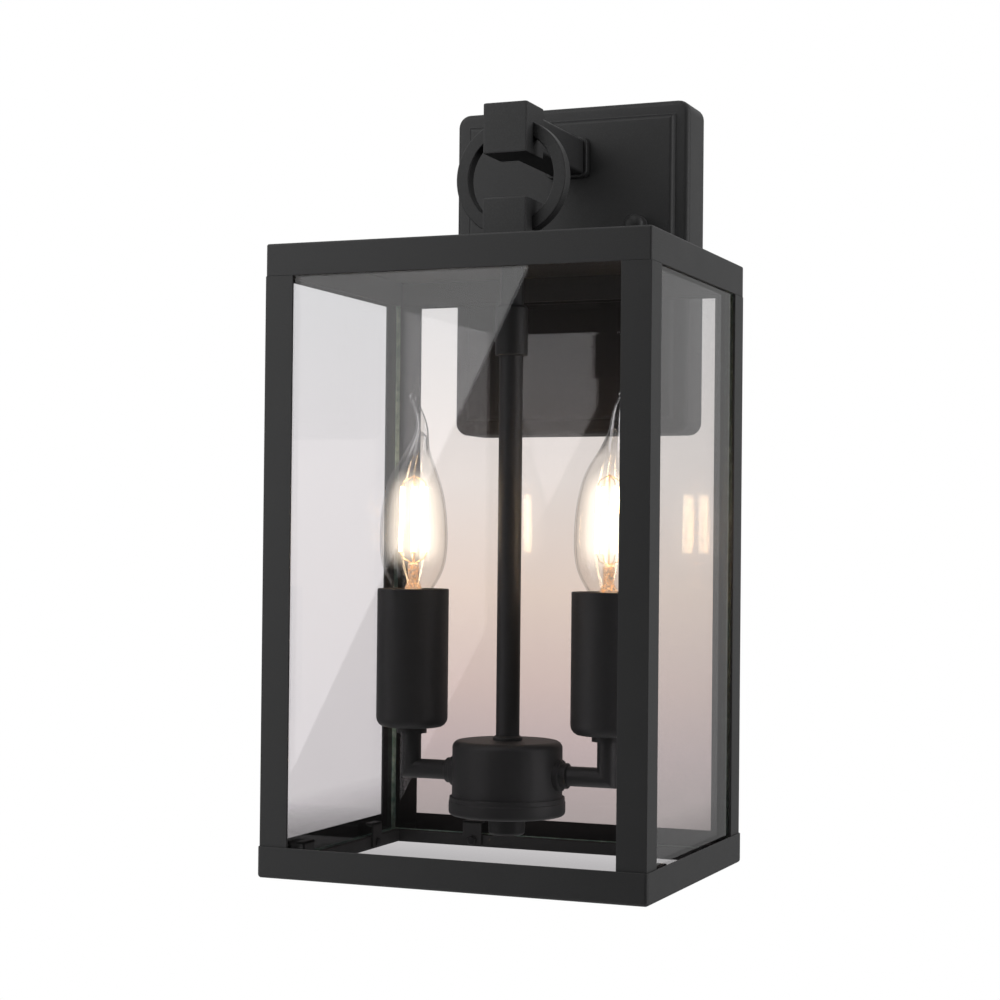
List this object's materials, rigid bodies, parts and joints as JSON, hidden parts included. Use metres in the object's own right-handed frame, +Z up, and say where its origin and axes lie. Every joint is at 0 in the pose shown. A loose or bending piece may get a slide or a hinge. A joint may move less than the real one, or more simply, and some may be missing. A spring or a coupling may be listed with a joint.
{
  "type": "outdoor wall lantern",
  "caption": "Boxy glazed wall lantern hung from a ring on a bracket arm, with a rectangular wall plate, open bottom and lit candle lamps on an elbow-armed hub inside.",
  "frame": {"origin": "centre of the wall plate's back on the wall", "axes": "+X to the viewer's right across the wall, +Y into the wall, +Z up; the lantern hangs on the -Y side"},
  "size_m": [0.2018, 0.1909, 0.4045],
  "materials": {
    "powder_coat": "matte fine-textured black powder coat",
    "zinc_steel": "zinc plated",
    "pane_glass": "clear polished",
    "bulb_glass": "clear blown",
    "filament": "lit warm white LED filament, phosphor coated",
    "plated_cap": "nickel plated",
    "holder_plastic": "ivory moulded",
    "brass": "drawn",
    "gasket_foam": "closed cell",
    "ground_green": "green plated",
    "lead_sheath": "smooth PVC",
    "connector": "moulded"
  },
  "bodies": {
    "lantern": {"wall_plate": "powder_coat", "wall_gasket": "gasket_foam", "mounting_strap": "zinc_steel", "strap_studs": "zinc_steel", "stud_lock_nuts": "zinc_steel", "ground_screw": "ground_green", "arm": "powder_coat", "arm_collar": "powder_coat", "arm_nipple": "zinc_steel", "arm_lock_nut": "zinc_steel", "upper_block": "powder_coat", "ring": "powder_coat", "lower_block": "powder_coat", "top_cap": "powder_coat", "post_front_left": "powder_coat", "post_front_right": "powder_coat", "post_back_left": "powder_coat", "post_back_right": "powder_coat", "base_frame": "powder_coat", "glass_front": "pane_glass", "glass_back": "pane_glass", "glass_left": "pane_glass", "glass_right": "pane_glass", "glass_channel": "powder_coat", "glass_clips": "powder_coat", "clip_screws": "zinc_steel", "roof_nipple": "zinc_steel", "upper_stem": "powder_coat", "coupler": "powder_coat", "stem": "powder_coat", "stem_collar": "powder_coat", "hub_body": "powder_coat", "hub_bracket": "zinc_steel", "hub_lock_nuts": "zinc_steel", "hub_bushings": "powder_coat", "elbow_left": "powder_coat", "elbow_right": "powder_coat", "seat_collars": "powder_coat", "sleeve_left": "powder_coat", "sleeve_right": "powder_coat", "lampholder_left": "holder_plastic", "lampholder_right": "holder_plastic", "socket_shells": "brass", "supply_leads": "lead_sheath", "lamp_leads": "lead_sheath", "wire_connectors": "connector"},
    "bulb_left": {"bulb_left_glass": "bulb_glass", "bulb_left_filaments": "filament", "bulb_left_cap": "plated_cap"},
    "bulb_left_feed": {"bulb_left_contact": "plated_cap"},
    "bulb_right": {"bulb_right_glass": "bulb_glass", "bulb_right_filaments": "filament", "bulb_right_cap": "plated_cap"},
    "bulb_right_feed": {"bulb_right_contact": "plated_cap"},
    "cap_nut_left_turns": {"cap_nut_left": "powder_coat"},
    "cap_nut_left_feed": {"cap_washer_left": "gasket_foam"},
    "cap_nut_right_turns": {"cap_nut_right": "powder_coat"},
    "cap_nut_right_feed": {"cap_washer_right": "gasket_foam"},
    "hub_cover_drops": {"hub_cover": "powder_coat"},
    "finial_turns": {"finial": "powder_coat"}
  },
  "joints": [
    {"name": "bulb_left_feed", "type": "slide", "parent": "lantern", "child": "bulb_left_feed", "axis": [0, 0, 1], "range_m": [0, 0.01273]},
    {"name": "bulb_left_turn", "type": "hinge", "parent": "bulb_left_feed", "child": "bulb_left", "pos_m": [-0.0535, -0.113, -0.1733], "axis": [0, 0, 1], "range_deg": [0, 1800]},
    {"name": "bulb_right_feed", "type": "slide", "parent": "lantern", "child": "bulb_right_feed", "axis": [0, 0, 1], "range_m": [0, 0.01273]},
    {"name": "bulb_right_turn", "type": "hinge", "parent": "bulb_right_feed", "child": "bulb_right", "pos_m": [0.0535, -0.113, -0.1733], "axis": [0, 0, 1], "range_deg": [0, 1800]},
    {"name": "cap_nut_left_feed", "type": "slide", "parent": "lantern", "child": "cap_nut_left_feed", "axis": [0, -1, 0], "range_m": [0, 0.00561]},
    {"name": "cap_nut_left_turn", "type": "hinge", "parent": "cap_nut_left_feed", "child": "cap_nut_left_turns", "pos_m": [-0.04, -0.0332, 0.022], "axis": [0, -1, 0], "range_deg": [0, 2880]},
    {"name": "cap_nut_right_feed", "type": "slide", "parent": "lantern", "child": "cap_nut_right_feed", "axis": [0, -1, 0], "range_m": [0, 0.00561]},
    {"name": "cap_nut_right_turn", "type": "hinge", "parent": "cap_nut_right_feed", "child": "cap_nut_right_turns", "pos_m": [0.04, -0.0332, 0.022], "axis": [0, -1, 0], "range_deg": [0, 2880]},
    {"name": "finial_feed", "type": "slide", "parent": "lantern", "child": "hub_cover_drops", "axis": [0, 0, -1], "range_m": [0, 0.00802]},
    {"name": "finial_turn", "type": "hinge", "parent": "hub_cover_drops", "child": "finial_turns", "pos_m": [0, -0.113, -0.2872], "axis": [0, 0, -1], "range_deg": [0, 2880]}
  ],
  "couplings": [
    {"joint": "bulb_left_feed", "follows": "bulb_left_turn", "m_per_rad": 0.00040425},
    {"joint": "bulb_right_feed", "follows": "bulb_right_turn", "m_per_rad": 0.00040425},
    {"joint": "cap_nut_left_feed", "follows": "cap_nut_left_turn", "m_per_rad": 0.00011141},
    {"joint": "cap_nut_right_feed", "follows": "cap_nut_right_turn", "m_per_rad": 0.00011141},
    {"joint": "finial_feed", "follows": "finial_turn", "m_per_rad": 0.00015915}
  ]
}
